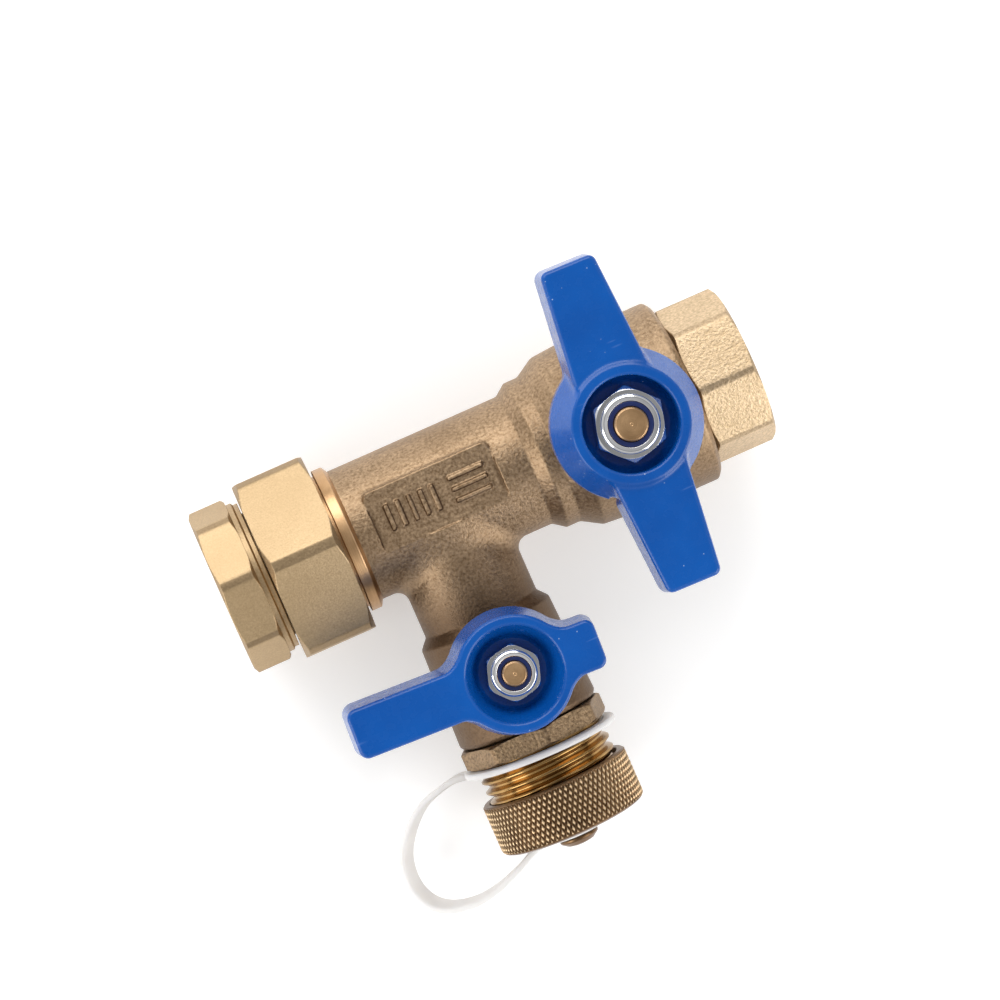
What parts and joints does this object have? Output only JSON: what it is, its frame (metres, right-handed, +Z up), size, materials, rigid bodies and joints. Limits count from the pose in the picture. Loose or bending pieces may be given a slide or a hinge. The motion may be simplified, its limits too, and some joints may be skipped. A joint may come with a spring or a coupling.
{
  "type": "isolation valve with drain",
  "caption": "Brass tee valve with a union end, a female pipe end, quarter-turn ball valves on the run and the drain branch, and a capped hose outlet on a strap.",
  "frame": {"origin": "under the middle of the valve, on the surface it lies on, the free strap left out", "axes": "+X along the run towards the ball-valve end, -Y down the drain branch, +Z up along both valve stems"},
  "size_m": [0.112, 0.1108, 0.0561],
  "materials": {
    "cast_brass": "forged and shot-blasted, satin grain",
    "machined_brass": "machined, bright",
    "cap_brass": "darkened brass, knurled",
    "steel": "bright plated",
    "handle_paint": "glossy blue coating",
    "ptfe": "smooth",
    "strap_plastic": "translucent moulded polyethylene",
    "rubber": "moulded",
    "nylon": "blue nylon ring"
  },
  "bodies": {
    "valve": {"valve_body": "cast_brass", "run_end_fitting": "cast_brass", "main_seat_inner": "ptfe", "main_seat_outer": "ptfe", "main_thrust_washer": "ptfe", "main_stem_packing": "ptfe", "main_packing_nut": "machined_brass", "drain_seat_inner": "ptfe", "drain_seat_outer": "ptfe", "drain_thrust_washer": "ptfe", "drain_stem_packing": "ptfe", "drain_packing_nut": "machined_brass", "hose_outlet": "machined_brass", "strap_neck_ring": "strap_plastic", "strap_band": "strap_plastic"},
    "main_control": {"main_handle": "handle_paint", "main_handle_nut": "steel", "main_nut_insert": "nylon", "main_stem": "machined_brass", "main_ball": "steel"},
    "drain_control": {"drain_handle": "handle_paint", "drain_handle_nut": "steel", "drain_nut_insert": "nylon", "drain_stem": "machined_brass", "drain_ball": "steel"},
    "tailpiece": {"union_tailpiece": "machined_brass", "union_gasket": "rubber", "union_retaining_ring": "steel"},
    "nut": {"union_nut": "machined_brass"},
    "strap_end": {"strap_eyelet": "strap_plastic"},
    "cap": {"hose_cap": "cap_brass", "hose_cap_washer": "rubber", "cap_stud": "cap_brass"}
  },
  "joints": [
    {"name": "main_handle_turn", "type": "hinge", "parent": "valve", "child": "main_control", "pos_m": [0.0274, 0.02019, 0.05013], "axis": [0, 0, 1], "range_deg": [0, 91.5]},
    {"name": "drain_handle_turn", "type": "hinge", "parent": "valve", "child": "drain_control", "pos_m": [-0.0111, -0.01481, 0.04013], "axis": [0, 0, 1], "range_deg": [0, 92.8]},
    {"name": "union_draw", "type": "slide", "parent": "valve", "child": "tailpiece", "axis": [-1, 0, 0], "range_m": [0, 0.00905]},
    {"name": "union_nut_turn", "type": "hinge", "parent": "tailpiece", "child": "nut", "pos_m": [-0.0386, 0.02019, 0.02014], "axis": [-1, 0, 0], "range_deg": [0, 1800]},
    {"name": "cap_travel", "type": "slide", "parent": "valve", "child": "strap_end", "axis": [0, -1, 0], "range_m": [0, 0.0088], "deforming": ["strap_band"]},
    {"name": "hose_cap_turn", "type": "hinge", "parent": "strap_end", "child": "cap", "pos_m": [-0.0111, -0.04381, 0.02014], "axis": [0, -1, 0], "range_deg": [0, 1440]}
  ],
  "couplings": [
    {"joint": "union_nut_turn", "follows": "union_draw", "rad_per_m": 3463.7},
    {"joint": "hose_cap_turn", "follows": "cap_travel", "rad_per_m": 2844.9}
  ]
}
